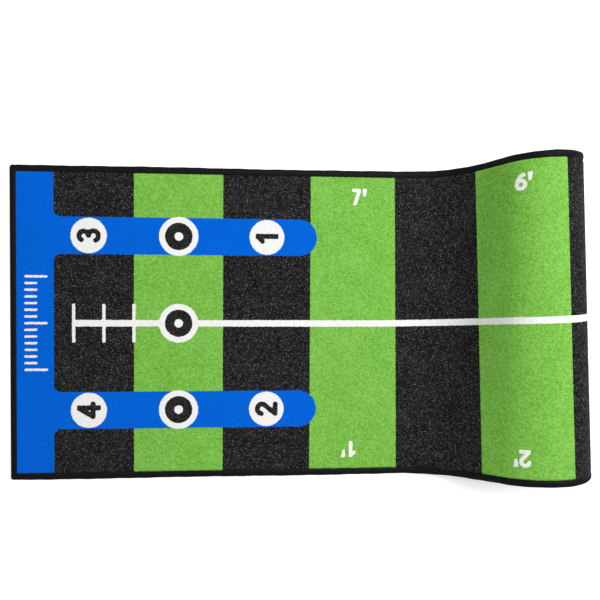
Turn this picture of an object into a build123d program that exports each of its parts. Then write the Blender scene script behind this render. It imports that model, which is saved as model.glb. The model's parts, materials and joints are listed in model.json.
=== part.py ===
"""A practice putting mat, part unrolled: a flat putting end that climbs a short ramp onto the roll.

The mat is one long sheet made of three bonded layers: a printed cut pile on top, a woven scrim that
the pile is tufted through, and a rubber underlay.  A sewn binding wraps all four edges.  Its head end
lies flat on the floor.  At the other end the sheet rises off the floor, passes over the top of its own
roll and winds inwards, pile outwards.

Frame: +X along the mat from its head end to its roll, +Y across the mat, +Z up.  The origin is on the
floor, in the middle of the box that the part fills.  All sizes are in millimetres.

The roll stands a few degrees askew to the flat end, so the ramp and the roll are turned together, in
plan, about the middle of the ramp's foot.

The sheet bends anywhere, so four hinge lines stand for its bending: three on the printed stripe lines
and one at the foot of the ramp.  Each hinge axis lies in the middle of the scrim.
"""

from build123d import *
import math
import os

# ---- The print sets the lengths: the stripes are half a foot long and the targets eight feet apart.
STRIPE_LENGTH = 152.4
TARGET_SPAN_STRIPES = 16
MAT_LENGTH = 3006.0
MAT_WIDTH = 538.0
HEADER_LENGTH = 62.0

# ---- Layers, from the floor up.
RUBBER_THICKNESS = 1.5
SCRIM_THICKNESS = 0.5
PILE_HEIGHT = 2.8

# ---- Binding: a sewn edge as wide as this on top, standing a little proud of the pile.
BINDING_WIDTH = 11.0
BINDING_PROUD = 0.4
BINDING_WALL = 1.2
CORNER_RADIUS = 6.0

# ---- Ramp: where it starts after the last flat stripe line, its two bends, its slope and its turn in plan.
FOOT_AFTER_LINE = 20.0
FOOT_RADIUS = 141.0
RAMP_SLOPE = math.radians(53.0)
CREST_RADIUS = 90.0
ROLL_ASKEW = 2.4

# ---- Roll: the hollow at its centre, and the air between one turn and the next.
CORE_RADIUS = 31.0
TURN_AIR = 0.1

# ---- Hinge lines: the gap between panels at the axis, and how far each hinge closes.
HINGE_GAP = 0.4
HINGE_TRAVEL = math.radians(50.0)
BEVEL_SPARE = math.radians(1.5)

# ---- Worked out from the sizes above.
SCRIM_TOP = RUBBER_THICKNESS + SCRIM_THICKNESS
MAT_THICKNESS = SCRIM_TOP + PILE_HEIGHT
BINDING_THICKNESS = MAT_THICKNESS + BINDING_PROUD
NEUTRAL = RUBBER_THICKNESS + SCRIM_THICKNESS / 2
TURN_PITCH = BINDING_THICKNESS + TURN_AIR
HALF_WIDTH = MAT_WIDTH / 2
HALF_PILE = HALF_WIDTH - BINDING_WIDTH
SCRIM_HALF = HALF_WIDTH - BINDING_WALL
HEAD_END = TARGET_SPAN_STRIPES * STRIPE_LENGTH / 2 - MAT_LENGTH / 2
HEADER_END = HEAD_END + BINDING_WIDTH + HEADER_LENGTH
FOOT_LINE = 2.5 * STRIPE_LENGTH + FOOT_AFTER_LINE
BEVEL = math.tan(HINGE_TRAVEL / 2 + BEVEL_SPARE)
HALF_TURN = math.pi


def line(length):
    """A straight stretch of the sheet."""
    return ("line", length, 0.0)


def bend(radius, angle):
    """A round stretch: radius is to the underside of the rubber, and a positive angle bends upwards."""
    return ("bend", radius, angle)


def run_length(run):
    """The length of a stretch along the middle of the scrim."""
    kind, size, angle = run
    if kind == "line":
        return size
    return abs(angle) * (size - math.copysign(NEUTRAL, angle))


def advance(point, heading, run, height=0.0):
    """Where a stretch ends, and its middle, at a height above the underside."""
    kind, size, angle = run
    x, z = point
    if kind == "line":
        end = (x + size * math.cos(heading), z + size * math.sin(heading))
        return end, heading, None
    side = math.copysign(1.0, angle)
    centre = (x - side * size * math.sin(heading), z + side * size * math.cos(heading))
    radius = size - side * height

    def on_arc(turned):
        h = heading + turned
        return (centre[0] + side * radius * math.sin(h), centre[1] - side * radius * math.cos(h))

    base = heading + angle
    end = (centre[0] + side * size * math.sin(base), centre[1] - side * size * math.cos(base))
    return end, base, on_arc(angle / 2)


def lifted(point, heading, height, back=0.0):
    """The point at a height above the underside, and a little way back along the sheet."""
    x = point[0] - height * math.sin(heading) - back * math.cos(heading)
    z = point[1] + height * math.cos(heading) - back * math.sin(heading)
    return Vector(x, 0, z)


def hinge_inset(height):
    """How far a face stands back from a hinge line, so that the hinge can close by its travel."""
    return HINGE_GAP / 2 + max(0.0, height - NEUTRAL) * BEVEL


def end_points(point, heading, low, high, hinged, facing):
    """The points up an end of a layer, from its low side to its high side."""
    heights = [low, high]
    if hinged and low < NEUTRAL < high:
        heights.insert(1, NEUTRAL)
    return [lifted(point, heading, h, facing * hinge_inset(h) if hinged else 0.0) for h in heights]


def edges_along(start, heading, runs, height, first, last):
    """The edges of a layer's side at one height, from the point first to the point last."""
    edges = []
    point = start
    here = first
    for i, run in enumerate(runs):
        end, turned, middle = advance(point, heading, run, height)
        there = last if i == len(runs) - 1 else lifted(end, turned, height)
        if middle is None:
            edges.append(Edge.make_line(here, there))
        else:
            edges.append(Edge.make_three_point_arc(here, Vector(middle[0], 0, middle[1]), there))
        point, heading, here = end, turned, there
    return edges


def layer(section, low, high, y_low, y_high):
    """A layer of one section of the sheet: the band between two heights, across from y_low to y_high."""
    start, heading, runs = section["start"], section["heading"], section["runs"]
    end, end_heading = section["end"], section["end_heading"]
    first = end_points(start, heading, low, high, section["hinge_before"], -1)
    last = end_points(end, end_heading, low, high, section["hinge_after"], 1)
    edges = edges_along(start, heading, runs, low, first[0], last[0])
    edges += [Edge.make_line(a, b) for a, b in zip(last, last[1:])]
    edges += edges_along(start, heading, runs, high, first[-1], last[-1])
    edges += [Edge.make_line(a, b) for a, b in zip(first, first[1:])]
    face = Face(Wire(edges))
    face = face.moved(Location((0, y_low, 0)))
    return Solid.extrude(face, Vector(0, y_high - y_low, 0))


def make_section(start, heading, runs, hinge_before=False, hinge_after=False):
    """A section of the sheet, with the place and heading where it ends."""
    point, turned = start, heading
    for run in runs:
        point, turned, _ = advance(point, turned, run)
    return {
        "start": start,
        "heading": heading,
        "runs": runs,
        "end": point,
        "end_heading": turned,
        "hinge_before": hinge_before,
        "hinge_after": hinge_after,
    }


def ramp_run(roll_radius):
    """The straight length of the ramp that brings the sheet up to the top of a roll of that radius."""
    under_crest = 2 * roll_radius - BINDING_THICKNESS
    bends = (1 - math.cos(RAMP_SLOPE)) * (FOOT_RADIUS + CREST_RADIUS)
    return (under_crest - bends) / math.sin(RAMP_SLOPE)


def ramp_runs(roll_radius):
    """The stretches from the foot's hinge line to the crest."""
    return [
        bend(FOOT_RADIUS, RAMP_SLOPE),
        line(ramp_run(roll_radius)),
        bend(CREST_RADIUS, -RAMP_SLOPE),
    ]


def wound_length(roll_radius):
    """What is left of the mat's length at the crest."""
    return MAT_LENGTH + HEAD_END - FOOT_LINE - sum(run_length(r) for r in ramp_runs(roll_radius))


def find_roll_radius():
    """The radius of the roll's outside, from the length wound on it and its hollow centre."""
    inner = CORE_RADIUS + NEUTRAL
    radius = inner
    for _ in range(40):
        neutral_radius = math.sqrt(inner**2 + wound_length(radius) * TURN_PITCH / math.pi)
        radius = neutral_radius - NEUTRAL + BINDING_THICKNESS
    return radius


def roll_runs(roll_radius, end_allowance=0.0):
    """Half turns of shrinking radius, from the crest inwards, until the mat runs out."""
    left = wound_length(roll_radius) - end_allowance
    radius = roll_radius - BINDING_THICKNESS
    runs = []
    while left > 1e-6:
        angle = min(HALF_TURN, left / (radius + NEUTRAL))
        runs.append(bend(radius, -angle))
        left -= angle * (radius + NEUTRAL)
        radius -= TURN_PITCH / 2
    return runs


ROLL_RADIUS = find_roll_radius()
ASKEW_REACH = HALF_WIDTH * math.tan(math.radians(ROLL_ASKEW)) + 2.0


def sheet_sections():
    """The sections of the sheet, from the head end to the tail inside the roll."""
    first, second, third = (n * STRIPE_LENGTH for n in (-0.5, 0.5, 1.5))
    head_start = HEAD_END + BINDING_WIDTH
    foot_length = FOOT_LINE - third + ASKEW_REACH
    ramp = make_section((FOOT_LINE, 0.0), 0.0, ramp_runs(ROLL_RADIUS), True)
    wound = roll_runs(ROLL_RADIUS, BINDING_WIDTH)
    return {
        "head": make_section((head_start, 0.0), 0.0, [line(first - head_start)], False, True),
        "green_1": make_section((first, 0.0), 0.0, [line(STRIPE_LENGTH)], True, True),
        "black_2": make_section((second, 0.0), 0.0, [line(STRIPE_LENGTH)], True, True),
        "foot": make_section((third, 0.0), 0.0, [line(foot_length)], True),
        "ramp": ramp,
        "roll": make_section(ramp["end"], ramp["end_heading"], wound),
    }


def pile_sections(sections):
    """The printed pile's pieces: one for each colour met along the sheet."""
    head = sections["head"]
    ramp = sections["ramp"]
    foot_bend, straight, crest_bend = ramp["runs"]
    dark_run = 3.5 * STRIPE_LENGTH - FOOT_LINE - run_length(foot_bend)
    dark = make_section(ramp["start"], ramp["heading"], [foot_bend, line(dark_run)], True)
    bright_runs = [line(run_length(straight) - dark_run), crest_bend]
    return {
        "header_pile": make_section(head["start"], 0.0, [line(HEADER_LENGTH)]),
        "black_1_pile": make_section((HEADER_END, 0.0), 0.0, [line(-0.5 * STRIPE_LENGTH - HEADER_END)],
                                     False, True),
        "green_1_pile": sections["green_1"],
        "black_2_pile": sections["black_2"],
        "green_2_pile": make_section(sections["foot"]["start"], 0.0, [line(STRIPE_LENGTH)], True),
        "black_3_pile": make_section((2.5 * STRIPE_LENGTH, 0.0), 0.0,
                                     [line(FOOT_AFTER_LINE + ASKEW_REACH)]),
        "ramp_black_pile": dark,
        "ramp_green_pile": make_section(dark["end"], dark["end_heading"], bright_runs),
        "roll_pile": sections["roll"],
    }


def past_the_foot():
    """All that lies past the ramp's foot line, up to the bevel of the last flat panel."""
    low, high = -1.0, BINDING_THICKNESS + 1.0
    bevelled = [(FOOT_LINE - hinge_inset(h), 0, h) for h in (low, NEUTRAL, high)]
    far = FOOT_LINE + 2 * ASKEW_REACH + 5.0
    outline = [Vector(p) for p in bevelled + [(far, 0, high), (far, 0, low)]]
    face = Face(Wire.make_polygon(outline, close=True)).moved(Location((0, -MAT_WIDTH, 0)))
    return turned_askew(Solid.extrude(face, Vector(0, 2 * MAT_WIDTH, 0)))


def turned_askew(solid):
    """A solid turned in plan about the middle of the ramp's foot line."""
    about = Axis((FOOT_LINE, 0, 0), (0, 0, 1))
    return solid.rotate(about, ROLL_ASKEW)


def side_binding(section, side):
    """The binding along one edge: a band round the edge with a slot for the scrim's edge."""
    inner, outer = side * HALF_PILE, side * HALF_WIDTH
    wrap = layer(section, 0.0, BINDING_THICKNESS, min(inner, outer), max(inner, outer))
    slot_end = side * SCRIM_HALF
    slot = layer(section, RUBBER_THICKNESS, SCRIM_TOP, min(inner, slot_end), max(inner, slot_end))
    return wrap - slot


def head_binding():
    """The binding across the head end, with its outer corners rounded and a slot for the scrim."""
    bar = Box(BINDING_WIDTH, MAT_WIDTH, BINDING_THICKNESS,
              align=(Align.MIN, Align.CENTER, Align.MIN))
    corners = bar.edges().filter_by(Axis.Z).group_by(Axis.X)[0]
    bar = fillet(corners, CORNER_RADIUS)
    slot = Box(BINDING_WIDTH - BINDING_WALL, 2 * SCRIM_HALF, SCRIM_THICKNESS,
               align=(Align.MIN, Align.CENTER, Align.MIN))
    slot = slot.moved(Location((BINDING_WALL, 0, RUBBER_THICKNESS)))
    return (bar - slot).moved(Location((HEAD_END, 0, 0)))


def head_scrim(section):
    """The head panel's scrim, with the tongue that the head binding is sewn to."""
    flat = layer(section, RUBBER_THICKNESS, SCRIM_TOP, -SCRIM_HALF, SCRIM_HALF)
    tongue = Box(BINDING_WIDTH - BINDING_WALL, 2 * (SCRIM_HALF - CORNER_RADIUS), SCRIM_THICKNESS,
                 align=(Align.MIN, Align.CENTER, Align.MIN))
    return flat + tongue.moved(Location((HEAD_END + BINDING_WALL, 0, RUBBER_THICKNESS)))


def tail_binding(sections):
    """The binding across the tail, inside the roll, following the last of the spiral."""
    roll = sections["roll"]
    whole = roll_runs(ROLL_RADIUS)
    angle = BINDING_WIDTH / (whole[-1][1] + NEUTRAL)
    tail = make_section(roll["end"], roll["end_heading"], [bend(whole[-1][1], -angle)])
    return layer(tail, 0.0, BINDING_THICKNESS, -HALF_WIDTH, HALF_WIDTH)


def build():
    """Every node of the mat, by name, in the frame of the sheet: x from the middle of the first target."""
    sections = sheet_sections()
    nodes = {
        name: layer(section, SCRIM_TOP, MAT_THICKNESS, -HALF_PILE, HALF_PILE)
        for name, section in pile_sections(sections).items()
    }
    for name, section in sections.items():
        if name == "head":
            nodes["head_scrim"] = head_scrim(section)
        else:
            nodes[f"{name}_scrim"] = layer(section, RUBBER_THICKNESS, SCRIM_TOP,
                                           -SCRIM_HALF, SCRIM_HALF)
        nodes[f"{name}_rubber"] = layer(section, 0.0, RUBBER_THICKNESS, -HALF_PILE, HALF_PILE)
        nodes[f"{name}_binding_near"] = side_binding(section, -1)
        nodes[f"{name}_binding_far"] = side_binding(section, 1)
    nodes["head_binding"] = head_binding()
    nodes["tail_binding"] = tail_binding(sections)
    beyond = past_the_foot()
    for name in nodes:
        if name.startswith(("foot", "black_3")):
            nodes[name] = nodes[name] - beyond
        elif name.startswith(("ramp", "roll", "tail")):
            nodes[name] = turned_askew(nodes[name])
    return nodes, sections


def main():
    """Writes one STEP file for each node, with the origin under the middle of the mat's box."""
    os.makedirs("parts", exist_ok=True)
    nodes, sections = build()
    box = Compound(children=[Compound([solid]) for solid in nodes.values()]).bounding_box()
    to_origin = Location((-box.center().X, -box.center().Y, 0))
    for name, solid in nodes.items():
        export_step(solid.moved(to_origin), f"parts/{name}.step")
    shift = (-box.center().X, -box.center().Y)
    turns = sum(-run[2] for run in sections["roll"]["runs"]) / (2 * math.pi)
    crest_x = sections["ramp"]["end"][0]
    print("box", [round(v, 3) for v in (box.size.X, box.size.Y, box.size.Z)], "lowest", round(box.min.Z, 4))
    print("first target at", [round(v, 3) for v in shift])
    print("hinge lines at x", [round(n * STRIPE_LENGTH + shift[0], 3) for n in (-0.5, 0.5, 1.5)])
    print("foot line", round(FOOT_LINE + shift[0], 3), "hinge height", NEUTRAL)
    print("roll radius", round(ROLL_RADIUS, 3), "crest past the foot", round(crest_x - FOOT_LINE, 3))
    print("turns", round(turns, 2), "ramp straight", round(ramp_run(ROLL_RADIUS), 2))


main()
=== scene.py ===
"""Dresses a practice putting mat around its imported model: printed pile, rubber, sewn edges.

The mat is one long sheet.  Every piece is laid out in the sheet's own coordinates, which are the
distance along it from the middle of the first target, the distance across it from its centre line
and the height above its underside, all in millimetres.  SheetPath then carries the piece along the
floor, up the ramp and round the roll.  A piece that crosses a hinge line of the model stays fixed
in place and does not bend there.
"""

import json
import logging
import math
from collections.abc import Callable
from dataclasses import dataclass
from enum import Enum

import bpy
import numpy as np
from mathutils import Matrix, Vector


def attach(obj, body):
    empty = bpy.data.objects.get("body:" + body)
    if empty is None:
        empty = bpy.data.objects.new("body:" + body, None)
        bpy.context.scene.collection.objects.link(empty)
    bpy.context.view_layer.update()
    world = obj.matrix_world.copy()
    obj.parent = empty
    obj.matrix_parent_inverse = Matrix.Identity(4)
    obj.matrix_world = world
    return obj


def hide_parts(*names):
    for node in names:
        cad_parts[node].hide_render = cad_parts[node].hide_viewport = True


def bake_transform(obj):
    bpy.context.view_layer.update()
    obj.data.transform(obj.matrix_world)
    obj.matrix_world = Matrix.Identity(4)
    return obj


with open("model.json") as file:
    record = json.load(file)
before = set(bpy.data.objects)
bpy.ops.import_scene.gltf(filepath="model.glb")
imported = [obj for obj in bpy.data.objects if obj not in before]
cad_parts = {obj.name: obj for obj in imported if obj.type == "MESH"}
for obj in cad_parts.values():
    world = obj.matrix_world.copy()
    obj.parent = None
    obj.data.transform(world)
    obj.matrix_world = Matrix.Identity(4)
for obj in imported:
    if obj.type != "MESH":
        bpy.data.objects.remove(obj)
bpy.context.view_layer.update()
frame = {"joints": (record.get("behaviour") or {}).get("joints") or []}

MM = 0.001
GRID = 1.905  # The sheet is laid out on a grid of 80 steps to a stripe.
LOG = logging.getLogger("putting_mat")

Array = np.ndarray
Field = Callable[[Array, Array], Array]
Pair = tuple[float, float]
Triple = tuple[float, float, float]
Piece = bpy.types.Object
Material = bpy.types.Material
Socket = bpy.types.NodeSocket
Inputs = dict[str | int, object]


class Side(Enum):
    """The two long edges of the mat."""

    NEAR = -1
    FAR = 1


class Ink(Enum):
    """The print's layers, from the first laid down to the last, over a black ground."""

    GREEN = "print_green"
    BLUE = "print_blue"
    WHITE = "print_white"
    BLACK = "print_black"


@dataclass(frozen=True)
class MatSizes:
    """The mat's own sizes, in millimetres and radians."""

    stripe: float = 152.4
    stripes_between_targets: int = 16
    length: float = 3006.0
    width: float = 538.0
    header: float = 62.0
    rubber: float = 1.5
    scrim: float = 0.5
    pile: float = 2.8
    edge_width: float = 11.0
    edge_proud: float = 0.4
    foot_after_line: float = 20.0
    foot_radius: float = 141.0
    ramp_slope: float = math.radians(53.0)
    crest_radius: float = 90.0
    askew: float = math.radians(2.4)
    core_radius: float = 31.0
    turn_air: float = 0.1

    @property
    def thickness(self) -> float:
        """The height of the pile's tips."""
        return self.rubber + self.scrim + self.pile

    @property
    def edge_thickness(self) -> float:
        """The height of the sewn edge."""
        return self.thickness + self.edge_proud

    @property
    def neutral(self) -> float:
        """The height of the middle of the scrim, which keeps its length as the sheet bends."""
        return self.rubber + self.scrim / 2

    @property
    def half_width(self) -> float:
        """Half the mat's width."""
        return self.width / 2

    @property
    def half_pile(self) -> float:
        """Half the width of the pile that shows between the sewn edges."""
        return self.half_width - self.edge_width

    @property
    def target_span(self) -> float:
        """The distance between the targets at the two ends."""
        return self.stripes_between_targets * self.stripe

    @property
    def head_end(self) -> float:
        """Where the sheet starts."""
        return self.target_span / 2 - self.length / 2

    @property
    def tail_end(self) -> float:
        """Where the sheet ends."""
        return self.head_end + self.length

    @property
    def header_end(self) -> float:
        """Where the blue header meets the first dark stripe."""
        return self.head_end + self.edge_width + self.header

    @property
    def foot_line(self) -> float:
        """Where the ramp leaves the floor."""
        return 2.5 * self.stripe + self.foot_after_line

    @property
    def turn_pitch(self) -> float:
        """How much the roll's radius shrinks in a whole turn."""
        return self.edge_thickness + self.turn_air


class SheetPath:
    """Carries points of the flat sheet to where they lie: floor, ramp, crest and roll.

    The sheet leaves the floor a little sooner at its near edge than at its far edge, so its bend at
    the foot is biased: the ramp's profile is read a share of the distance across further back, and
    that share fades out by the crest.
    """

    HALF_ASKEW_ZONE = 80.0
    BIAS = 0.11
    BIAS_FADES_AFTER_FOOT = 40.0
    BIAS_GONE_AFTER_CREST = 20.0
    FLAT_BEFORE_HEAD = 100.0
    ROUNDS = 40
    SHORT_STEP = 0.5

    def __init__(self, sizes: MatSizes, joints: list[dict]) -> None:
        """Finds the roll's radius and lays out the stretches of the sheet.

        Args:
            sizes: the mat's sizes.
            joints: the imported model's joints, which say where the hinge lines are.
        """
        self.sizes = sizes
        self.joints = {joint["name"]: joint for joint in joints}
        foot = self.joints["foot_bend"]["pos_m"]
        self.offset = np.array([foot[0] - sizes.foot_line * MM, foot[1], 0.0])
        self.roll_radius = self._find_roll_radius()
        starts, curves = self._stretches()
        self._starts = np.array(starts)
        self._curves = np.array(curves)
        self._lay_out()

    def _ramp_straight(self, roll_radius: float) -> float:
        """Returns the ramp's straight length up to a roll of that radius."""
        z = self.sizes
        bends = (1 - math.cos(z.ramp_slope)) * (z.foot_radius + z.crest_radius)
        return (2 * roll_radius - z.edge_thickness - bends) / math.sin(z.ramp_slope)

    def _ramp_length(self, roll_radius: float) -> float:
        """Returns the sheet's length from the foot line to the crest."""
        z = self.sizes
        foot = (z.foot_radius - z.neutral) * z.ramp_slope
        crest = (z.crest_radius + z.neutral) * z.ramp_slope
        return foot + self._ramp_straight(roll_radius) + crest

    def _find_roll_radius(self) -> float:
        """Returns the radius of the roll that holds what is left of the sheet at the crest."""
        z = self.sizes
        inner = z.core_radius + z.neutral
        radius = inner
        for _ in range(self.ROUNDS):
            wound = z.tail_end - z.foot_line - self._ramp_length(radius)
            outer = math.sqrt(inner**2 + wound * z.turn_pitch / math.pi)
            radius = outer - z.neutral + z.edge_thickness
        return radius

    def _stretches(self) -> tuple[list[float], list[float]]:
        """Returns where each stretch of the sheet starts, and its curvature along the scrim."""
        z = self.sizes
        starts = [z.head_end - self.FLAT_BEFORE_HEAD, z.foot_line]
        curves = [0.0, 1 / (z.foot_radius - z.neutral)]
        starts.append(z.foot_line + (z.foot_radius - z.neutral) * z.ramp_slope)
        curves.append(0.0)
        starts.append(starts[-1] + self._ramp_straight(self.roll_radius))
        curves.append(-1 / (z.crest_radius + z.neutral))
        starts.append(starts[-1] + (z.crest_radius + z.neutral) * z.ramp_slope)
        self.crest = starts[-1]
        radius = self.roll_radius - z.edge_thickness + z.neutral
        while starts[-1] < z.tail_end:
            curves.append(-1 / radius)
            starts.append(starts[-1] + radius * math.pi)
            radius -= z.turn_pitch / 2
        return starts[:-1], curves

    def _lay_out(self) -> None:
        """Works out where each stretch starts and which way it heads."""
        x, height, heading = [self._starts[0]], [self.sizes.neutral], [0.0]
        for i, curve in enumerate(self._curves[:-1]):
            length = self._starts[i + 1] - self._starts[i]
            turned = heading[-1] + curve * length
            if curve == 0.0:
                x.append(x[-1] + length * math.cos(heading[-1]))
                height.append(height[-1] + length * math.sin(heading[-1]))
            else:
                x.append(x[-1] + (math.sin(turned) - math.sin(heading[-1])) / curve)
                height.append(height[-1] - (math.cos(turned) - math.cos(heading[-1])) / curve)
            heading.append(turned)
        self._x, self._z, self._heading = np.array(x), np.array(height), np.array(heading)

    def profile(self, along: Array) -> tuple[Array, Array, Array]:
        """Follows the middle of the scrim.

        Args:
            along: distances along the sheet.

        Returns:
            The place along the floor, the height and the heading at each distance.
        """
        i = np.searchsorted(self._starts, along, side="right") - 1
        i = np.clip(i, 0, len(self._curves) - 1)
        went, curve, start = along - self._starts[i], self._curves[i], self._heading[i]
        heading = start + curve * went
        bent = curve != 0.0
        safe = np.where(bent, curve, 1.0)
        x = np.where(bent, (np.sin(heading) - np.sin(start)) / safe, went * np.cos(start))
        z = np.where(bent, -(np.cos(heading) - np.cos(start)) / safe, went * np.sin(start))
        return self._x[i] + x, self._z[i] + z, heading

    def place(self, along: Array, across: Array, up: Array) -> Array:
        """Carries points of the flat sheet to the row frame.

        Args:
            along: distances along the sheet.
            across: distances from its centre line.
            up: heights above its underside.

        Returns:
            An array of points, in metres.
        """
        fades = self.sizes.foot_line + self.BIAS_FADES_AFTER_FOOT
        gone = self.crest + self.BIAS_GONE_AFTER_CREST
        bias = self.BIAS * np.clip((gone - along) / (gone - fades), 0.0, 1.0)
        along = along - bias * across
        x, z, heading = self.profile(along)
        crest_x = self.profile(np.array([self.crest]))[0][0]
        lag = np.where(along < self.crest, along - x, self.crest - crest_x)
        x = x + bias * across
        lift = up - self.sizes.neutral
        x = x - lift * np.sin(heading)
        z = z + lift * np.cos(heading)
        zone = self.HALF_ASKEW_ZONE
        t = np.clip((x - self.sizes.foot_line + zone) / (2 * zone), 0.0, 1.0)
        share = t * t * (3 - 2 * t)
        turn = self.sizes.askew * share
        past = x - self.sizes.foot_line
        drift = math.sin(self.sizes.askew) * (
            2 * zone * (t**3 - t**4 / 2) + np.maximum(past - zone, 0.0)
        )
        shrink = np.where(past > 0, past * (1 - math.cos(self.sizes.askew)) * share, 0.0)
        drift = drift + self.BIAS * np.maximum(lag, 0.0)
        points = np.stack(
            [x - shrink - across * np.sin(turn), drift + across * np.cos(turn), z], axis=-1
        )
        return points * MM + self.offset

    def frame_at(self, along: Array, across: Array, up: Array) -> tuple[Array, Array, Array]:
        """Returns points with the unit directions along the sheet and out of it there."""
        here = self.place(along, across, up)
        ahead = self.place(along + self.SHORT_STEP, across, up) - here
        above = self.place(along, across, up + self.SHORT_STEP) - here
        ahead /= np.linalg.norm(ahead, axis=-1, keepdims=True)
        above /= np.linalg.norm(above, axis=-1, keepdims=True)
        return here, ahead, above


@dataclass(frozen=True)
class Stretch:
    """A stretch of the sheet, its bodies, and the nodes that its pieces stand for."""

    name: str
    start: float
    end: float
    body: str
    bent_to: str = ""
    joint: str = ""
    nodes: tuple[str, ...] = ()
    prefix: str = ""
    slot: str = ""
    fine: bool = True


@dataclass(frozen=True)
class BendZone:
    """A bend zone at a hinge line: its length, and how far before the line it begins; pieces are
    not bent over it.
    """

    length: float = 75.0
    lead: float = 11 * GRID

    def apply(self, piece: Piece, path: SheetPath, stretch: Stretch) -> None:
        """Makes a piece ride on its body, or, where its stretch crosses a hinge line, fixes it in
        place.
        """
        if not stretch.joint:
            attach(piece, stretch.body)
            return
        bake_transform(piece)


class Shapes:
    """Signed distances from points of the flat sheet to plain shapes; inside is negative."""

    @staticmethod
    def disc(x: Array, y: Array, radius: float) -> Array:
        """Returns the distance to a disc at the origin."""
        return np.hypot(x, y) - radius

    @staticmethod
    def bar(x: Array, y: Array, start: Pair, end: Pair, half: float) -> Array:
        """Returns the distance to a round-ended bar of half width half."""
        dx, dy = end[0] - start[0], end[1] - start[1]
        reach = max(dx * dx + dy * dy, 1e-9)
        t = np.clip(((x - start[0]) * dx + (y - start[1]) * dy) / reach, 0.0, 1.0)
        return np.hypot(x - start[0] - t * dx, y - start[1] - t * dy) - half

    @staticmethod
    def box(x: Array, y: Array, half_x: float, half_y: float, round_by: float) -> Array:
        """Returns the distance to a box at the origin with rounded corners."""
        qx, qy = np.abs(x) - half_x + round_by, np.abs(y) - half_y + round_by
        outside = np.hypot(np.maximum(qx, 0.0), np.maximum(qy, 0.0))
        return outside + np.minimum(np.maximum(qx, qy), 0.0) - round_by

    @staticmethod
    def arc(x: Array, y: Array, centre: Pair, radius: float, sweep: Pair, half: float) -> Array:
        """Returns the distance to a round-ended arc band between two angles, in degrees."""
        first, last = math.radians(sweep[0]), math.radians(sweep[1])
        dx, dy = x - centre[0], y - centre[1]
        angle = np.mod(np.arctan2(dy, dx) - first, 2 * math.pi)
        on = angle <= last - first
        tips = [(radius * math.cos(a), radius * math.sin(a)) for a in (first, last)]
        beyond = np.minimum(*(np.hypot(dx - x, dy - y) for x, y in tips))
        return np.where(on, np.abs(np.hypot(dx, dy) - radius), beyond) - half

    @staticmethod
    def filleted(first: Array, second: Array, radius: float) -> Array:
        """Returns the distance to two shapes joined with a fillet between them."""
        blend = np.hypot(np.maximum(radius - first, 0.0), np.maximum(radius - second, 0.0))
        return np.maximum(radius, np.minimum(first, second)) - blend


@dataclass(frozen=True)
class Glyph:
    """A digit drawn with bars and arcs, on a grid one unit high, from its middle, cut off flat."""

    bars: tuple[tuple[Pair, Pair], ...] = ()
    arcs: tuple[tuple[Pair, float, Pair], ...] = ()

    def distance(self, x: Array, y: Array, height: float, half: float) -> Array:
        """Returns the distance to the digit.

        Args:
            x: distances to the digit's right of its middle.
            y: distances up from its middle.
            height: the digit's height.
            half: half its stroke.

        Returns:
            The distance at each point, negative inside.
        """
        scale = height - 2 * half
        u, v = x / scale, y / scale
        found = [Shapes.bar(u, v, a, b, 0.0) for a, b in self.bars]
        found += [Shapes.arc(u, v, c, r, sweep, 0.0) for c, r, sweep in self.arcs]
        stroke = np.minimum.reduce(found) * scale - half
        return np.maximum(stroke, np.abs(y) - height / 2)


DIGITS = {
    1: Glyph(bars=(((0.06, 0.9), (0.06, -0.9)), ((0.06, 0.5), (-0.22, 0.26)))),
    2: Glyph(
        bars=(((0.2, 0.08), (-0.27, -0.5)), ((-0.27, -0.5), (0.27, -0.5))),
        arcs=(((0.0, 0.24), 0.27, (-38.0, 172.0)),),
    ),
    3: Glyph(
        bars=(((0.0, 0.01), (0.05, 0.01)),),
        arcs=(((-0.02, 0.27), 0.25, (-72.0, 150.0)), ((-0.02, -0.25), 0.27, (210.0, 432.0))),
    ),
    4: Glyph(
        bars=(
            ((0.14, 0.9), (0.14, -0.9)),
            ((0.1, 0.5), (-0.35, -0.22)),
            ((-0.35, -0.22), (0.36, -0.22)),
        )
    ),
    5: Glyph(
        bars=(((0.25, 0.5), (-0.2, 0.5)), ((-0.2, 0.5), (-0.24, 0.04))),
        arcs=(((0.0, -0.2), 0.29, (-150.0, 135.0)),),
    ),
    6: Glyph(arcs=(((0.0, -0.215), 0.285, (0.0, 360.0)), ((0.415, -0.2), 0.7, (108.0, 180.0)))),
    7: Glyph(bars=(((-0.24, 0.5), (0.22, 0.5)), ((0.22, 0.5), (-0.2, -0.8)))),
}


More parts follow.
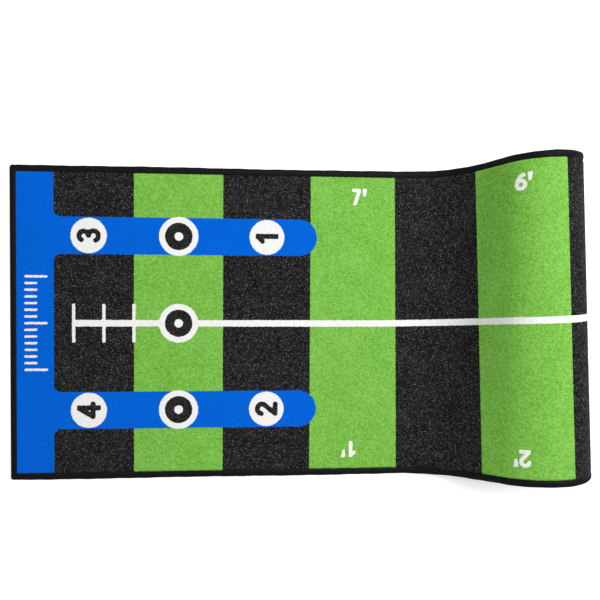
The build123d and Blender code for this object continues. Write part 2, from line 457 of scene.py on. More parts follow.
@dataclass(frozen=True)
class MatPrint:
    """The print, as signed distances over the flat sheet."""

    sizes: MatSizes
    arm_across: float = 150.3
    arm_half: float = 32.0
    arm_tip: float = 240.0
    header_fillet: float = 12.0
    target_radius: float = 33.6
    ring_radius: float = 23.6
    dot_radius: float = 7.4
    number_radius: float = 30.3
    number_height: float = 40.0
    number_half: float = 4.4
    line_half: float = 5.6
    line_round: float = 0.5
    line_overlap: float = 1.0
    cross_half_length: float = 31.0
    cross_half: float = 2.7
    cross_bars: int = 3
    cross_pitch: float = 50.8
    cross_first: float = -177.8
    label_across: float = 223.5
    label_height: float = 28.6
    label_half: float = 3.1
    far_label_shift: float = 5.1
    near_label_shift: float = 1.0
    mark_gap: float = 14.6
    mark_top: float = 14.0
    mark_bottom: float = 1.4
    mark_half: float = 3.4
    mark_round: float = 0.4
    mark_left_slant: float = 0.06
    mark_right_slant: float = 0.16
    mark_right_share: float = 0.98
    motif_start: float = -257.9
    motif_bars: int = 15
    motif_pitch: float = 11.4
    motif_half: float = 2.0
    motif_long: float = 35.0
    motif_short: float = 18.0
    motif_long_every: int = 7

    def _both_ends(self, shape: Field, along: Array, across: Array) -> Array:
        """Returns the nearer of a shape at the head end and its turned copy at the tail."""
        turned = shape(self.sizes.target_span - along, -across)
        return np.minimum(shape(along, across), turned)

    def green(self, along: Array, across: Array) -> Array:
        """Returns the distance to the light stripes."""
        period = 2 * self.sizes.stripe
        phase = np.mod(along + period / 2, period) - period / 2
        return np.abs(phase) - self.sizes.stripe / 2

    def _blue_end(self, along: Array, across: Array) -> Array:
        """Returns the distance to the header at the head end, with its two arms."""
        header = along - self.sizes.header_end
        centre = self.arm_tip - self.arm_half
        start, end = (2 * self.sizes.head_end, 0.0), (centre, 0.0)
        arms = Shapes.bar(along, np.abs(across) - self.arm_across, start, end, self.arm_half)
        return Shapes.filleted(header, arms, self.header_fillet)

    def blue(self, along: Array, across: Array) -> Array:
        """Returns the distance to the headers and arms at both ends."""
        return self._both_ends(self._blue_end, along, across)

    def _white_end(self, along: Array, across: Array) -> Array:
        """Returns the distance to the white shapes at the head end."""
        found = []
        for centre in (-self.arm_across, 0.0, self.arm_across):
            found.append(Shapes.disc(along, across - centre, self.target_radius))
        for x in (-self.sizes.stripe, self.sizes.stripe):
            beside = np.abs(across) - self.arm_across
            found.append(Shapes.disc(along - x, beside, self.number_radius))
        reach = self.cross_half_length
        for i in range(self.cross_bars):
            x = self.cross_first + i * self.cross_pitch
            found.append(Shapes.bar(along, across, (x, -reach), (x, reach), self.cross_half))
        middle = (self.cross_first + self.sizes.target_span / 2) / 2
        half = (self.sizes.target_span / 2 - self.cross_first) / 2
        half += self.line_overlap
        line = Shapes.box(along - middle, across, half, self.line_half, self.line_round)
        found.append(line)
        for i in range(self.motif_bars):
            y = (i - (self.motif_bars - 1) / 2) * self.motif_pitch
            length = self.motif_short if i % self.motif_long_every else self.motif_long
            start, end = (self.motif_start, y), (self.motif_start + length, y)
            found.append(Shapes.bar(along, across, start, end, self.motif_half))
        return np.minimum.reduce(found)

    def _foot_mark(self, x: Array, y: Array) -> Array:
        """Returns the distance to the wedge that follows a number of feet."""
        below = self.mark_top - y
        left = self.mark_left_slant * below - (x + self.mark_half)
        right = (x - self.mark_half) * self.mark_right_share + below * self.mark_right_slant
        return np.maximum.reduce([-below, self.mark_bottom - y, left, right]) - self.mark_round

    def _label(self, feet: int, x: Array, y: Array) -> Array:
        """Returns the distance to a number of feet, with its mark, read from its own side."""
        digit = DIGITS[feet].distance(x, y, self.label_height, self.label_half)
        return np.minimum(digit, self._foot_mark(x - self.mark_gap, y))

    def white(self, along: Array, across: Array) -> Array:
        """Returns the distance to everything white."""
        found = [self._both_ends(self._white_end, along, across)]
        for feet in range(1, 8):
            x = along - feet * 2 * self.sizes.stripe
            far, near = x - self.far_label_shift, -x - self.near_label_shift
            found.append(self._label(8 - feet, far, across - self.label_across))
            found.append(self._label(feet, near, -across - self.label_across))
        return np.minimum.reduce(found)

    def _black_end(self, along: Array, across: Array) -> Array:
        """Returns the distance to the rings and digits at the head end."""
        found = []
        for centre in (-self.arm_across, 0.0, self.arm_across):
            reach = np.hypot(along, across - centre)
            found.append(np.maximum(reach - self.ring_radius, self.dot_radius - reach))
        places = {1: (1, 1), 2: (1, -1), 3: (-1, 1), 4: (-1, -1)}
        for number, (ahead, side) in places.items():
            x = along - ahead * self.sizes.stripe
            y = across - side * self.arm_across
            found.append(DIGITS[number].distance(y, -x, self.number_height, self.number_half))
        return np.minimum.reduce(found)

    def black(self, along: Array, across: Array) -> Array:
        """Returns the distance to the rings and digits at both ends."""
        return self._both_ends(self._black_end, along, across)

    def layers(self, along: Array, across: Array) -> dict[Ink, Array]:
        """Returns the distance to each ink over the given points."""
        return {
            Ink.GREEN: self.green(along, across),
            Ink.BLUE: self.blue(along, across),
            Ink.WHITE: self.white(along, across),
            Ink.BLACK: self.black(along, across),
        }


class NodeMaker:
    """Adds nodes to a tree and joins them, with short calls."""

    def __init__(self, tree: bpy.types.NodeTree) -> None:
        """Keeps the tree."""
        self.tree = tree

    def feed(self, node: bpy.types.Node, inputs: Inputs) -> None:
        """Sets each input, by its name or place, to a value, or joins it to an output."""
        for name, value in inputs.items():
            if isinstance(value, Socket):
                self.tree.links.new(value, node.inputs[name])
            else:
                node.inputs[name].default_value = value

    def add(self, kind: str, inputs: Inputs, **values: object) -> bpy.types.Node:
        """Adds a node.

        Args:
            kind: the node's type.
            inputs: what feeds its inputs.
            values: its properties.

        Returns:
            The node.
        """
        node = self.tree.nodes.new(kind)
        for name, value in values.items():
            setattr(node, name, value)
        self.feed(node, inputs)
        return node

    def out(self, kind: str, inputs: Inputs, **values: object) -> Socket:
        """Adds a node as add does, and returns its first output."""
        return self.add(kind, inputs, **values).outputs[0]

    def math(self, operation: str, *values: object, clamp: bool = False) -> Socket:
        """Adds a math node, fed with numbers or sockets, and returns its output."""
        inputs = dict(enumerate(values))
        return self.out("ShaderNodeMath", inputs, operation=operation, use_clamp=clamp)

    def ramp(self, value: object, limits: Pair) -> Socket:
        """Maps a value from between two limits to 0..1, smoothly."""
        inputs = {"Value": value, "From Min": limits[0], "From Max": limits[1]}
        return self.out("ShaderNodeMapRange", inputs, interpolation_type="SMOOTHSTEP")

    def mix(self, share: object, first: object, second: object) -> Socket:
        """Mixes two colours, each a socket or a tuple, and returns the output."""
        node = self.add("ShaderNodeMix", {"Factor": share}, data_type="RGBA")
        colours = [i for i, socket in enumerate(node.inputs) if socket.type == "RGBA"]
        for i, value in zip(colours, (first, second)):
            self.feed(node, {i: (*value, 1.0) if isinstance(value, tuple) else value})
        return next(s for s in node.outputs if s.type == "RGBA")

    def noise(self, vector: object, scale: float, detail: float) -> Socket:
        """Adds a noise texture, and returns its value."""
        inputs = {"Scale": scale, "Detail": detail, "Vector": vector}
        return self.out("ShaderNodeTexNoise", inputs)

    def cloth(self) -> Socket:
        """Adds the sheet's own map, and returns its output."""
        return self.out("ShaderNodeUVMap", {}, uv_map="cloth")

    def bump(self, height: object, strength: float, depth: float) -> Socket:
        """Adds bumps, where a height of one stands for a depth in millimetres."""
        inputs = {"Strength": strength, "Distance": depth * MM, "Height": height}
        return self.out("ShaderNodeBump", inputs)


def new_object(name: str, data: bpy.types.ID) -> Piece:
    """Makes an object and adds it to the scene."""
    made = bpy.data.objects.new(name, data)
    bpy.context.scene.collection.objects.link(made)
    return made


def fresh_material(name: str) -> tuple[Material, NodeMaker, bpy.types.Node]:
    """Makes a material with nodes.

    Args:
        name: the material's name.

    Returns:
        The material, a maker for its tree, and its shader.
    """
    material = bpy.data.materials.new(name)
    material.use_nodes = True
    maker = NodeMaker(material.node_tree)
    return material, maker, material.node_tree.nodes["Principled BSDF"]


@dataclass(frozen=True)
class PileFinish:
    """Printed cut pile: a dark and a light shade of each ink, mixed tuft by tuft."""

    ground: tuple[Triple, Triple] = ((0.0025, 0.0025, 0.0027), (0.03, 0.03, 0.031))
    green: tuple[Triple, Triple] = ((0.13, 0.39, 0.035), (0.27, 0.61, 0.11))
    blue: tuple[Triple, Triple] = ((0.0, 0.113, 0.63), (0.0003, 0.14, 0.735))
    white: tuple[Triple, Triple] = ((0.86, 0.855, 0.84), (0.945, 0.945, 0.93))
    black: tuple[Triple, Triple] = ((0.002, 0.002, 0.0022), (0.042, 0.042, 0.043))
    fleck: Triple = (0.15, 0.15, 0.152)
    tuft: float = 1.9
    grain: float = 1.3
    patches: float = 22.0
    shares: Triple = (0.55, 0.6, 0.35)
    light_between: Pair = (0.38, 1.15)
    fleck_between: Pair = (0.8, 1.0)
    fleck_reach: Pair = (0.6, 0.2)
    bleed: float = 0.8
    edge_between: Pair = (0.35, -0.35)
    roughness: float = 0.95
    specular: float = 0.05
    sheen: float = 0.03
    sheen_roughness: float = 0.5
    bump: float = 0.5
    bump_depth: float = 0.6

    def material(self) -> Material:
        """Builds the material.

        Returns:
            The finished material.
        """
        made, maker, shader = fresh_material("printed_pile")
        cloth = maker.cloth()
        inputs = {"Scale": 1000.0 / self.tuft, "Vector": cloth}
        tufts = maker.add("ShaderNodeTexVoronoi", inputs, feature="F1")
        split = maker.add("ShaderNodeSeparateColor", {0: tufts.outputs["Color"]}).outputs
        fine = maker.noise(cloth, 1000.0 / self.grain, 3.0)
        patch = maker.noise(cloth, self.patches, 3.0)
        by_tuft, by_grain, by_patch = self.shares
        speck = maker.math("MULTIPLY", split[0], by_tuft)
        speck = maker.math("MULTIPLY_ADD", fine, by_grain, speck)
        speck = maker.math("MULTIPLY_ADD", patch, by_patch, speck)
        share = maker.ramp(speck, self.light_between)
        jitter = maker.math("MULTIPLY_ADD", split[1], self.bleed, -self.bleed / 2)
        rare = maker.ramp(split[2], self.fleck_between)
        near = maker.ramp(tufts.outputs["Distance"], self.fleck_reach)
        colour = maker.mix(share, *self.ground)
        colour = maker.mix(maker.math("MULTIPLY", rare, near), colour, self.fleck)
        for ink, pair in zip(Ink, (self.green, self.blue, self.white, self.black)):
            where = maker.add("ShaderNodeAttribute", {}, attribute_name=ink.value).outputs["Fac"]
            inside = maker.ramp(maker.math("ADD", where, jitter), self.edge_between)
            colour = maker.mix(inside, colour, maker.mix(share, *pair))
        height = maker.math("SUBTRACT", fine, tufts.outputs["Distance"])
        dress = {
            "Base Color": colour,
            "Roughness": self.roughness,
            "Sheen Weight": self.sheen,
            "Sheen Roughness": self.sheen_roughness,
            "Specular IOR Level": self.specular,
            "Normal": maker.bump(height, self.bump, self.bump_depth),
        }
        maker.feed(shader, dress)
        return made


@dataclass(frozen=True)
class RubberFinish:
    """The underlay: dark rubber with a fine moulded grid of dots against slipping."""

    dark: Triple = (0.016, 0.016, 0.017)
    light: Triple = (0.035, 0.035, 0.036)
    dot_pitch: float = 3.2
    dot_edge: Pair = (0.42, 0.3)
    dot_share: float = 0.35
    worn_scale: float = 60.0
    worn_share: float = 0.2
    grain_scale: float = 1400.0
    grain_share: float = 0.25
    roughness: float = 0.62
    bump: float = 0.6
    bump_depth: float = 0.35

    def material(self) -> Material:
        """Builds the material.

        Returns:
            The finished material.
        """
        made, maker, shader = fresh_material("rubber_underlay")
        cloth = maker.cloth()
        inputs = {"Scale": 1000.0 / self.dot_pitch, "Randomness": 0.0, "Vector": cloth}
        dots = maker.add("ShaderNodeTexVoronoi", inputs, feature="F1", distance="CHEBYCHEV")
        raised = maker.ramp(dots.outputs["Distance"], self.dot_edge)
        worn = maker.noise(cloth, self.worn_scale, 5.0)
        share = maker.math("MULTIPLY_ADD", raised, self.dot_share, worn, clamp=True)
        grain = maker.noise(cloth, self.grain_scale, 2.0)
        height = maker.math("MULTIPLY_ADD", grain, self.grain_share, raised)
        dress = {
            "Base Color": maker.mix(share, self.dark, self.light),
            "Roughness": maker.math("MULTIPLY_ADD", worn, self.worn_share, self.roughness),
            "Normal": maker.bump(height, self.bump, self.bump_depth),
        }
        maker.feed(shader, dress)
        return made


@dataclass(frozen=True)
class EdgeFinish:
    """The sewn edge: closely laid polyester thread, a little lighter where it rubs."""

    dark: Triple = (0.0016, 0.0013, 0.0015)
    light: Triple = (0.013, 0.0115, 0.013)
    rib: float = 1.1
    rib_waver: float = 1.2
    rubbed_scale: float = 300.0
    roughness: float = 0.62
    specular: float = 0.15
    sheen: float = 0.01
    bump: float = 0.45
    bump_depth: float = 0.3
    name: str = "sewn_edge"

    def material(self) -> Material:
        """Builds the material.

        Returns:
            The finished material.
        """
        made, maker, shader = fresh_material(self.name)
        cloth = maker.cloth()
        waves = 1000.0 / self.rib / (2 * math.pi)
        inputs = {"Scale": waves, "Distortion": self.rib_waver, "Detail": 1.0, "Vector": cloth}
        ribs = maker.add("ShaderNodeTexWave", inputs, wave_type="BANDS", bands_direction="X")
        rubbed = maker.noise(cloth, self.rubbed_scale, 3.0)
        share = maker.math("MULTIPLY", ribs.outputs[1], rubbed)
        dress = {
            "Base Color": maker.mix(share, self.dark, self.light),
            "Roughness": self.roughness,
            "Sheen Weight": self.sheen,
            "Specular IOR Level": self.specular,
            "Normal": maker.bump(ribs.outputs[1], self.bump, self.bump_depth),
        }
        maker.feed(shader, dress)
        return made


@dataclass(frozen=True)
class Loft:
    """A closed skin through the same loop of points at station after station along the sheet.

    The distances along and across and the heights have a row for each station and a column for
    each point of the loop, or one of either where it doesn't change.  The loop runs across the top
    towards the far edge, and back underneath.
    """

    along: Array
    across: Array
    up: Array
    sharp_past: float = math.radians(62.0)

    def object(
        self, name: str, path: SheetPath, finish: Material, girth: Array | None = None
    ) -> Piece:
        """Makes the mesh and its object.

        Args:
            name: the object's name.
            path: what carries the flat sheet to its place.
            finish: its material.
            girth: the second map coordinate of each point, if it isn't the distance across.

        Returns:
            The new object, at the origin, with its place in its mesh.
        """
        second = self.across if girth is None else girth
        laid = np.broadcast_arrays(self.along, self.across, self.up, second)
        rows, columns = laid[0].shape
        along, across, up, second = (values.ravel() for values in laid)
        points = path.place(along, across, up)
        index = np.arange(rows * columns).reshape(rows, columns)
        right = np.roll(index, -1, axis=1)
        quads = np.stack([index[:-1], index[1:], right[1:], right[:-1]], axis=-1).reshape(-1)
        corners = np.concatenate([quads, index[0], index[-1][::-1]]).astype(np.int32)
        faces = (rows - 1) * columns
        starts = np.concatenate([np.arange(faces) * 4, [faces * 4, faces * 4 + columns]])
        mesh = bpy.data.meshes.new(name)
        mesh.vertices.add(len(points))
        mesh.vertices.foreach_set("co", points.astype(np.float32).ravel())
        mesh.loops.add(len(corners))
        mesh.loops.foreach_set("vertex_index", corners)
        mesh.polygons.add(faces + 2)
        mesh.polygons.foreach_set("loop_start", starts.astype(np.int32))
        smooth = np.ones(faces + 2, bool)
        smooth[-2:] = False
        mesh.polygons.foreach_set("use_smooth", smooth)
        mesh.update(calc_edges=True)
        mesh.set_sharp_from_angle(angle=self.sharp_past)
        uv = mesh.uv_layers.new(name="cloth")
        flat = np.stack([along, second], axis=-1)[corners] * MM
        uv.data.foreach_set("uv", flat.astype(np.float32).ravel())
        mesh.materials.append(finish)
        return new_object(name, mesh)


def stations(start: float, end: float, step: float) -> Array:
    """Returns evenly spaced distances from start to end, about a step apart."""
    return np.linspace(start, end, max(2, round((end - start) / step) + 1))


def scatter(first: Array, second: Array) -> Array:
    """Returns a number from 0 to 1 for each pair of whole numbers, the same each time."""
    weights, offset, spread = (12.9898, 78.233), 37.719, 43758.5453
    value = np.sin(first * weights[0] + second * weights[1] + offset) * spread
    return value - np.floor(value)


@dataclass
class PileCloth:
    """The printed pile on its scrim: a slab with a tufted top."""

    path: SheetPath
    stretch: Stretch
    mat_print: MatPrint
    finish: Material
    coarse_grid: float = 6.0
    under_columns: int = 30
    tuft_depth: float = 0.5
    coarse_depth: float = 0.1
    edge_drop: float = 1.3
    edge_reach: float = 3.0

    def _top(self, along: Array, across: Array) -> Array:
        """Returns the height of the tips, tuft by tuft, lower under the sewn edge."""
        sizes = self.path.sizes
        tuft = scatter(np.round(along / GRID), np.round(across / GRID))
        depth = self.tuft_depth if self.stretch.fine else self.coarse_depth
        gap = sizes.half_pile - np.abs(across)
        pressed = self.edge_drop * np.clip(1 - gap / self.edge_reach, 0.0, 1.0) ** 2
        return sizes.thickness - depth * tuft - pressed

    def build(self) -> Piece:
        """Builds the piece.

        Returns:
            The finished piece.
        """
        sizes, stretch = self.path.sizes, self.stretch
        half, step = sizes.half_pile, GRID if stretch.fine else self.coarse_grid
        rows = stations(stretch.start, stretch.end, step)[:, None]
        top, under = stations(-half, half, step), np.linspace(half, -half, self.under_columns)
        along, across = np.broadcast_arrays(rows, np.hstack([top, under]))
        up = np.full(along.shape, sizes.rubber)
        up[:, : len(top)] = self._top(rows, top)
        piece = Loft(along, across, up).object(f"pile_{stretch.name}", self.path, self.finish)
        for ink, distance in self.mat_print.layers(along.ravel(), across.ravel()).items():
            layer = piece.data.attributes.new(ink.value, "FLOAT", "POINT")
            layer.data.foreach_set("value", distance.astype(np.float32))
        return piece


@dataclass
class Underlay:
    """The rubber under the cloth."""

    path: SheetPath
    stretch: Stretch
    finish: Material
    corner: float = 0.3
    margin: float = 15.0
    columns: int = 28

    def build(self) -> Piece:
        """Builds the piece.

        Returns:
            The finished piece.
        """
        sizes, stretch = self.path.sizes, self.stretch
        rows = stations(stretch.start, stretch.end, 2 * GRID)
        half, top, cut = sizes.half_pile, sizes.rubber, self.corner
        inner = np.linspace(-half + self.margin, half - self.margin, self.columns)
        loop = [(-half, top)] + [(y, top) for y in inner] + [(half, top)]
        loop += [(half, cut), (half - cut, 0.0)] + [(y, 0.0) for y in inner[::-1]]
        loop += [(-half + cut, 0.0), (-half, cut)]
        across, up = np.array(loop).T
        loft = Loft(rows[:, None], across[None, :], up[None, :])
        return loft.object(f"underlay_{stretch.name}", self.path, self.finish)


@dataclass(frozen=True)
class EdgeSection:
    """The section under the thread of a sewn edge: round, and flatter underneath."""

    width: float
    height: float
    points: int = 18
    thread: float = 0.4
    flatness: float = 0.6

    def loop(self, turned: bool) -> tuple[Array, Array, Array]:
        """Works out the section's loop.

        Args:
            turned: whether it runs the other way round.

        Returns:
            Its distances in from the outer edge, its heights and the way round it.
        """
        angle = np.linspace(0, 2 * math.pi, self.points, endpoint=False)
        c, s = np.cos(angle), np.sin(angle)
        flat_under = np.where(s > 0, s, np.sign(s) * np.abs(s) ** self.flatness)
        squarish = np.where(s > 0, c, np.sign(c) * np.abs(c) ** self.flatness)
        inward = self.width / 2 * (1 - squarish)
        up = (self.height - self.thread) / 2 * (1 + flat_under)
        girth = angle * (self.width + self.height) / 4
        step = -1 if turned else 1
        return inward[None, ::step], up[None, ::step], girth[None, ::step]


@dataclass
class LongEdge:
    """The sewn edge along one side of a stretch."""

    path: SheetPath
    stretch: Stretch
    side: Side
    finish: Material
    tuck: float = 1.05
    mean_out: float = 0.5
    waves: tuple[Triple, ...] = ((0.2, 13.0, 0.0), (0.15, 5.3, 1.0), (0.35, 61.0, 2.0))
    closing_from: float = 0.15
    closing_steps: int = 6
    least_open: float = 0.01

    def _stations(self) -> Array:
        """Returns the stations, finer where the edge closes under the edge across an end."""
        sizes, half = self.path.sizes, self.path.sizes.edge_width / 2
        rows = stations(self.stretch.start, self.stretch.end, GRID)
        turned = np.linspace(self.closing_from, math.pi / 2, self.closing_steps)
        steps = half * (1 - np.cos(turned))
        if self.stretch.start <= sizes.head_end + sizes.edge_width:
            rows = np.concatenate([sizes.head_end + half + steps, rows])
        if self.stretch.end >= sizes.tail_end - sizes.edge_width:
            rows = np.concatenate([rows, (sizes.tail_end - half - steps)[::-1]])
        return rows[:, None]

    def _closing(self, rows: Array) -> Array:
        """Returns how open the section is at each station: less near the mat's ends."""
        sizes, half = self.path.sizes, self.path.sizes.edge_width / 2
        gone = np.minimum(rows - sizes.head_end, sizes.tail_end - rows) - half
        rounded = 1 - (1 - np.clip(gone / half, 0.0, 1.0)) ** 2
        return np.sqrt(np.clip(rounded, self.least_open, 1.0))

    def _wobble(self, rows: Array) -> Array:
        """Returns how far out of line the outer side is at each station."""
        wobble = self.mean_out
        for height, length, phase in self.waves:
            wobble = wobble + height * np.sin(rows / length + phase * self.side.value)
        return wobble

    def build(self) -> Piece:
        """Builds the piece.

        Returns:
            The finished piece.
        """
        sizes, side = self.path.sizes, self.side.value
        section = EdgeSection(sizes.edge_width, sizes.edge_thickness)
        inward, up, girth = section.loop(turned=side > 0)
        rows = self._stations()
        outer = 1 - inward / sizes.edge_width
        reach = sizes.half_width + self._wobble(rows) * outer - inward * self.tuck
        middle, centre = sizes.half_width - sizes.edge_width / 2, sizes.edge_thickness / 2
        closing = self._closing(rows)
        across = side * (middle + (reach - middle) * closing)
        name = f"edge_{self.side.name.lower()}_{self.stretch.name}"
        loft = Loft(rows, across, centre + (up - centre) * closing)
        return loft.object(name, self.path, self.finish, girth)


@dataclass
class EndEdge:
    """The sewn edge across one end of the mat."""

    path: SheetPath
    name: str
    outer: float
    inwards: int
    finish: Material
    round_end: float = 6.0
    round_steps: int = 7
    bluntness: float = 0.6
    least_open: float = 0.02

    def build(self) -> Piece:
        """Builds the piece.

        Returns:
            The finished piece.
        """
        sizes = self.path.sizes
        section = EdgeSection(sizes.edge_width, sizes.edge_thickness)
        inward, up, girth = section.loop(turned=self.inwards > 0)
        reach = sizes.half_width
        ends = self.round_end * (1 - np.cos(np.linspace(0, math.pi / 2, self.round_steps)))
        middle = stations(-reach + self.round_end, reach - self.round_end, GRID)
        rows = np.concatenate([-reach + ends[:-1], middle, (reach - ends[:-1])[::-1]])[:, None]
        inset = np.clip(self.round_end - (reach - np.abs(rows)), 0.0, self.round_end)
        scale = np.sqrt(np.maximum(1 - (inset / self.round_end) ** 2, self.least_open))
        half, centre = sizes.edge_width / 2, sizes.edge_thickness / 2
        spread = half + (inward - half) * scale**self.bluntness
        loft = Loft(self.outer + self.inwards * spread, rows, centre + (up - centre) * scale)
        return loft.object(self.name, self.path, self.finish, girth)


class StitchTree:
    """A Geometry Nodes tree that lays a loop of thread over a sewn edge at each point of a line."""

    SOCKETS = {"Width": 5.55, "Height": 2.42, "Thread": 0.36, "Slant": 0.3}
    ARC_POINTS = 9
    ARC_START = math.radians(-28.0)
    ARC_SWEEP = math.radians(222.0)
    THREAD_POINTS = 5
    LEAST_SCALE = (1.0, 0.97, 0.97)
    MOST_SCALE = (1.0, 1.02, 1.03)
    SEED = 7

    def __init__(self, material: Material) -> None:
        """Builds the tree.

        Args:
            material: the thread's material.
        """
        tree = bpy.data.node_groups.new("edge_stitches", "GeometryNodeTree")
        face = tree.interface
        face.new_socket("Geometry", in_out="INPUT", socket_type="NodeSocketGeometry")
        for name, value in self.SOCKETS.items():
            socket = face.new_socket(name, in_out="INPUT", socket_type="NodeSocketFloat")
            socket.default_value = value
        face.new_socket("Geometry", in_out="OUTPUT", socket_type="NodeSocketGeometry")
        self.tree = tree
        maker = NodeMaker(tree)
        given = maker.add("NodeGroupInput", {}).outputs
        wide, high, thick = (
            maker.math("MULTIPLY", given[name], MM) for name in ("Width", "Height", "Thread")
        )
        arc = maker.out(
            "GeometryNodeCurveArc",
            {"Resolution": self.ARC_POINTS, "Radius": 1.0, "Start Angle": self.ARC_START,
             "Sweep Angle": self.ARC_SWEEP},
            mode="RADIUS",
        )
        stand = {"Geometry": arc, "Rotation": (math.pi / 2, 0.0, math.pi / 2)}
        upright = maker.out("GeometryNodeTransform", stand)
        size = maker.out("ShaderNodeCombineXYZ", {0: 1.0, 1: wide, 2: high})
        sized = maker.out("GeometryNodeTransform", {"Geometry": upright, "Scale": size})
        size = {"Resolution": self.THREAD_POINTS, "Radius": thick}
        ring = maker.out("GeometryNodeCurvePrimitiveCircle", size)
        sweep = {"Fill Caps": True, "Curve": sized, "Profile Curve": ring}
        thread = maker.out("GeometryNodeCurveToMesh", sweep)
        lean = maker.out("ShaderNodeCombineXYZ", {2: given["Slant"]})
        slanted = maker.out("GeometryNodeTransform", {"Geometry": thread, "Rotation": lean})
        axes = {}
        for name, axis in (("out_of_sheet", "Primary Axis"), ("along_sheet", "Secondary Axis")):
            kind = "GeometryNodeInputNamedAttribute"
            axes[axis] = maker.out(kind, {"Name": name}, data_type="FLOAT_VECTOR")
        kind = "FunctionNodeAxesToRotation"
        turn = maker.out(kind, axes, primary_axis="Z", secondary_axis="X")
        limits = {"Min": self.LEAST_SCALE, "Max": self.MOST_SCALE, "Seed": self.SEED}
        scale = maker.out("FunctionNodeRandomValue", limits, data_type="FLOAT_VECTOR")
        laid = maker.out(
            "GeometryNodeInstanceOnPoints",
            {"Points": given["Geometry"], "Instance": slanted, "Rotation": turn, "Scale": scale},
        )
        real = maker.out("GeometryNodeRealizeInstances", {0: laid})
        dressed = maker.out("GeometryNodeSetMaterial", {"Geometry": real, "Material": material})
        maker.add("NodeGroupOutput", {0: dressed})

    def run(self, name: str, points: Array, ahead: Array, above: Array) -> Piece:
        """Lays stitches at points, and returns them as one plain mesh object.

        Args:
            name: the new object's name.
            points: the middles of the sewn edge.
            ahead: the way along the edge at each point.
            above: the way out of the sheet at each point.

        Returns:
            The new object.
        """
        mesh = bpy.data.meshes.new(f"{name}_line")
        mesh.from_pydata(points.tolist(), [], [])
        for label, values in (("along_sheet", ahead), ("out_of_sheet", above)):
            layer = mesh.attributes.new(label, "FLOAT_VECTOR", "POINT")
            layer.data.foreach_set("vector", values.astype(np.float32).ravel())
        line = new_object(f"{name}_line", mesh)
        modifier = line.modifiers.new("stitches", "NODES")
        modifier.node_group = self.tree
        for item in self.tree.interface.items_tree:
            if item.in_out == "INPUT" and item.name in self.SOCKETS:
                modifier[item.identifier] = self.SOCKETS[item.name]
        graph = bpy.context.evaluated_depsgraph_get()
        made = bpy.data.meshes.new_from_object(line.evaluated_get(graph), depsgraph=graph)
        made.name = name
        bpy.data.objects.remove(line)
        return new_object(name, made)


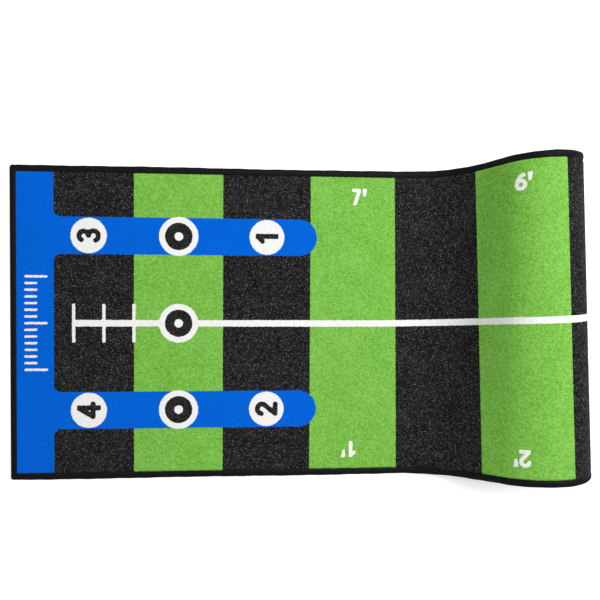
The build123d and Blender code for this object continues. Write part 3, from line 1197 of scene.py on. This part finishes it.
@dataclass
class Mat:
    """The whole mat: builds every piece, rides each one that doesn't cross a hinge line on its
    body, and hides the imported nodes it stands for.
    """

    FOOT_END = 294 * GRID
    WOUND = 480 * GRID

    path: SheetPath
    pile: Material
    rubber: Material
    edge: Material
    thread: Material
    stitch_pitch: float = 3.0
    stitch_drop: float = 0.2
    stitch_margin: float = 4.0

    def stretches(self) -> list[Stretch]:
        """Returns the stretches of the sheet, from the head end to the tail."""
        z = self.path.sizes
        s, lead = z.stripe, BendZone.lead
        foot_end, wound = self.FOOT_END, self.WOUND
        return [
            Stretch(
                "head", z.head_end + z.edge_width, lead, "green_panel_1", "head_panel", "bend_1",
                ("header_pile", "black_1_pile", "head_scrim"), "head", "pile_blue",
            ),
            Stretch(
                "green", lead, s + lead, "black_panel_2", "green_panel_1", "bend_2",
                ("green_1_pile", "green_1_scrim"), "green_1", "pile_green",
            ),
            Stretch(
                "black", s + lead, 2 * s + lead, "foot_panel", "black_panel_2", "bend_3",
                ("black_2_pile", "black_2_scrim"), "black_2", "pile_black",
            ),
            Stretch(
                "foot", 2 * s + lead, foot_end, "foot_panel", "roll_end", "foot_bend",
                ("green_2_pile", "black_3_pile", "foot_scrim", "ramp_black_pile"),
                "foot", "pile_green",
            ),
            Stretch(
                "roll", foot_end, wound, "roll_end", nodes=("ramp_green_pile", "ramp_scrim"),
                prefix="ramp", slot="pile_green",
            ),
            Stretch(
                "core", wound, z.tail_end - z.edge_width, "roll_end",
                nodes=("roll_pile", "roll_scrim"), prefix="roll", slot="pile_rolled", fine=False,
            ),
        ]

    def _finish(self, piece: Piece, stretch: Stretch, slot: str, *nodes: str) -> None:
        """Rides a piece on its body or fixes it in place, hides the nodes it stands for, and
        reports it.
        """
        BendZone().apply(piece, self.path, stretch)
        if nodes:
            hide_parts(*nodes)
        LOG.info("%s: %d faces", piece.name, len(piece.data.polygons))

    def _stitches(self, tree: StitchTree, stretch: Stretch, side: Side) -> None:
        """Lays the stitches over one long edge of a stretch."""
        sizes, half = self.path.sizes, self.stitch_pitch / 2
        rows = stations(stretch.start + half, stretch.end - half, self.stitch_pitch)
        across = np.full_like(rows, side.value * (sizes.half_width - sizes.edge_width / 2))
        up = np.full_like(rows, sizes.edge_thickness / 2 - self.stitch_drop)
        name = f"stitches_{side.name.lower()}_{stretch.name}"
        piece = tree.run(name, *self.path.frame_at(rows, across, up))
        self._finish(piece, stretch, "binding")

    def _end(
        self, tree: StitchTree, name: str, outer: float, inwards: int, body: str, node: str
    ) -> None:
        """Builds the sewn edge across an end, with its stitches."""
        sizes = self.path.sizes
        rides = Stretch(name, outer, outer, body)
        edge = EndEdge(self.path, f"edge_{name}", outer, inwards, self.edge).build()
        self._finish(edge, rides, "binding", node)
        reach = sizes.half_width - self.stitch_margin
        rows = stations(-reach, reach, self.stitch_pitch)
        along = np.full_like(rows, outer + inwards * sizes.edge_width / 2)
        up = np.full_like(rows, sizes.edge_thickness / 2 - self.stitch_drop)
        here, ahead, above = self.path.frame_at(along, rows, up)
        piece = tree.run(f"stitches_{name}", here, np.cross(above, ahead), above)
        self._finish(piece, rides, "binding")

    def build(self) -> None:
        """Builds every piece of the mat."""
        sizes = self.path.sizes
        mat_print = MatPrint(sizes)
        tree = StitchTree(self.thread)
        for stretch in self.stretches():
            cloth = PileCloth(self.path, stretch, mat_print, self.pile).build()
            self._finish(cloth, stretch, stretch.slot, *stretch.nodes)
            rubber = Underlay(self.path, stretch, self.rubber).build()
            self._finish(rubber, stretch, "underlay", f"{stretch.prefix}_rubber")
            for side in Side:
                edge = LongEdge(self.path, stretch, side, self.edge).build()
                node = f"{stretch.prefix}_binding_{side.name.lower()}"
                self._finish(edge, stretch, "binding", node)
                self._stitches(tree, stretch, side)
        self._end(tree, "head", sizes.head_end, 1, "head_panel", "head_binding")
        self._end(tree, "tail", sizes.tail_end, -1, "roll_end", "tail_binding")


@dataclass(frozen=True)
class AreaLamp:
    """A soft square lamp that points at the origin."""

    name: str
    place: Triple
    size: float
    power: float

    def build(self) -> None:
        """Adds the lamp to the scene."""
        data = bpy.data.lights.new(self.name, "AREA")
        data.shape = "SQUARE"
        data.size = self.size
        data.energy = self.power
        lamp = new_object(self.name, data)
        lamp.location = self.place
        lamp.rotation_euler = (-Vector(self.place)).to_track_quat("-Z", "Y").to_euler()


@dataclass(frozen=True)
class Studio:
    """A plain pale floor, soft lamps and the camera, which looks down on the mat."""

    path: SheetPath
    camera_place: Triple = (129.2, 65.5, 1091.2)
    camera_turn: Triple = (-0.02271, -0.07476, 0.00553)
    lens: float = 37.2
    nearest_seen: float = 0.01
    key: AreaLamp = AreaLamp("key", (1.15, 0.75, 2.45), 1.6, 78.0)
    fill: AreaLamp = AreaLamp("fill", (-1.6, -0.9, 2.2), 2.6, 7.0)
    floor_size: float = 60.0
    floor_drop: float = 0.0004
    floor_roughness: float = 0.9
    floor_colour: Triple = (0.93, 0.93, 0.93)
    ambient: float = 0.22
    floor_glow: float = 0.4

    def _floor(self) -> None:
        """Adds the floor."""
        mesh = bpy.data.meshes.new("floor")
        half = self.floor_size / 2
        corners = [(-half, -half, 0.0), (half, -half, 0.0), (half, half, 0.0), (-half, half, 0.0)]
        mesh.from_pydata(corners, [], [(0, 1, 2, 3)])
        floor = new_object("floor", mesh)
        material, maker, shader = fresh_material("pale_floor")
        dress = {
            "Base Color": (*self.floor_colour, 1.0),
            "Roughness": self.floor_roughness,
            "Emission Color": (1.0, 1.0, 1.0, 1.0),
            "Emission Strength": self.floor_glow,
        }
        maker.feed(shader, dress)
        mesh.materials.append(material)
        floor.location = (0.0, 0.0, -self.floor_drop)

    def _camera(self) -> None:
        """Adds the camera."""
        data = bpy.data.cameras.new("camera")
        data.lens = self.lens
        data.clip_start = self.nearest_seen
        camera = new_object("camera", data)
        camera.location = Vector(self.camera_place) * MM + Vector(self.path.offset)
        camera.rotation_euler = self.camera_turn
        bpy.context.scene.camera = camera

    def build(self) -> None:
        """Adds the floor, the lamps, the ambient light and the camera."""
        self._floor()
        self.key.build()
        self.fill.build()
        world = bpy.data.worlds.new("studio")
        world.use_nodes = True
        sky = world.node_tree.nodes["Background"]
        sky.inputs["Color"].default_value = (1.0, 1.0, 1.0, 1.0)
        sky.inputs["Strength"].default_value = self.ambient
        bpy.context.scene.world = world
        bpy.context.scene.view_settings.view_transform = "Standard"
        self._camera()


def main() -> None:
    """Builds the mat and its studio."""
    logging.basicConfig(level=logging.INFO, format="%(name)s %(message)s")
    path = SheetPath(MatSizes(), frame["joints"])
    LOG.info("roll radius %.2f mm, crest at %.1f mm", path.roll_radius, path.crest)
    Studio(path).build()
    thread = EdgeFinish(name="edge_thread", light=(0.026, 0.024, 0.026)).material()
    pile, rubber, edge = (kind().material() for kind in (PileFinish, RubberFinish, EdgeFinish))
    Mat(path, pile, rubber, edge, thread).build()


if __name__ == "__main__":
    main()
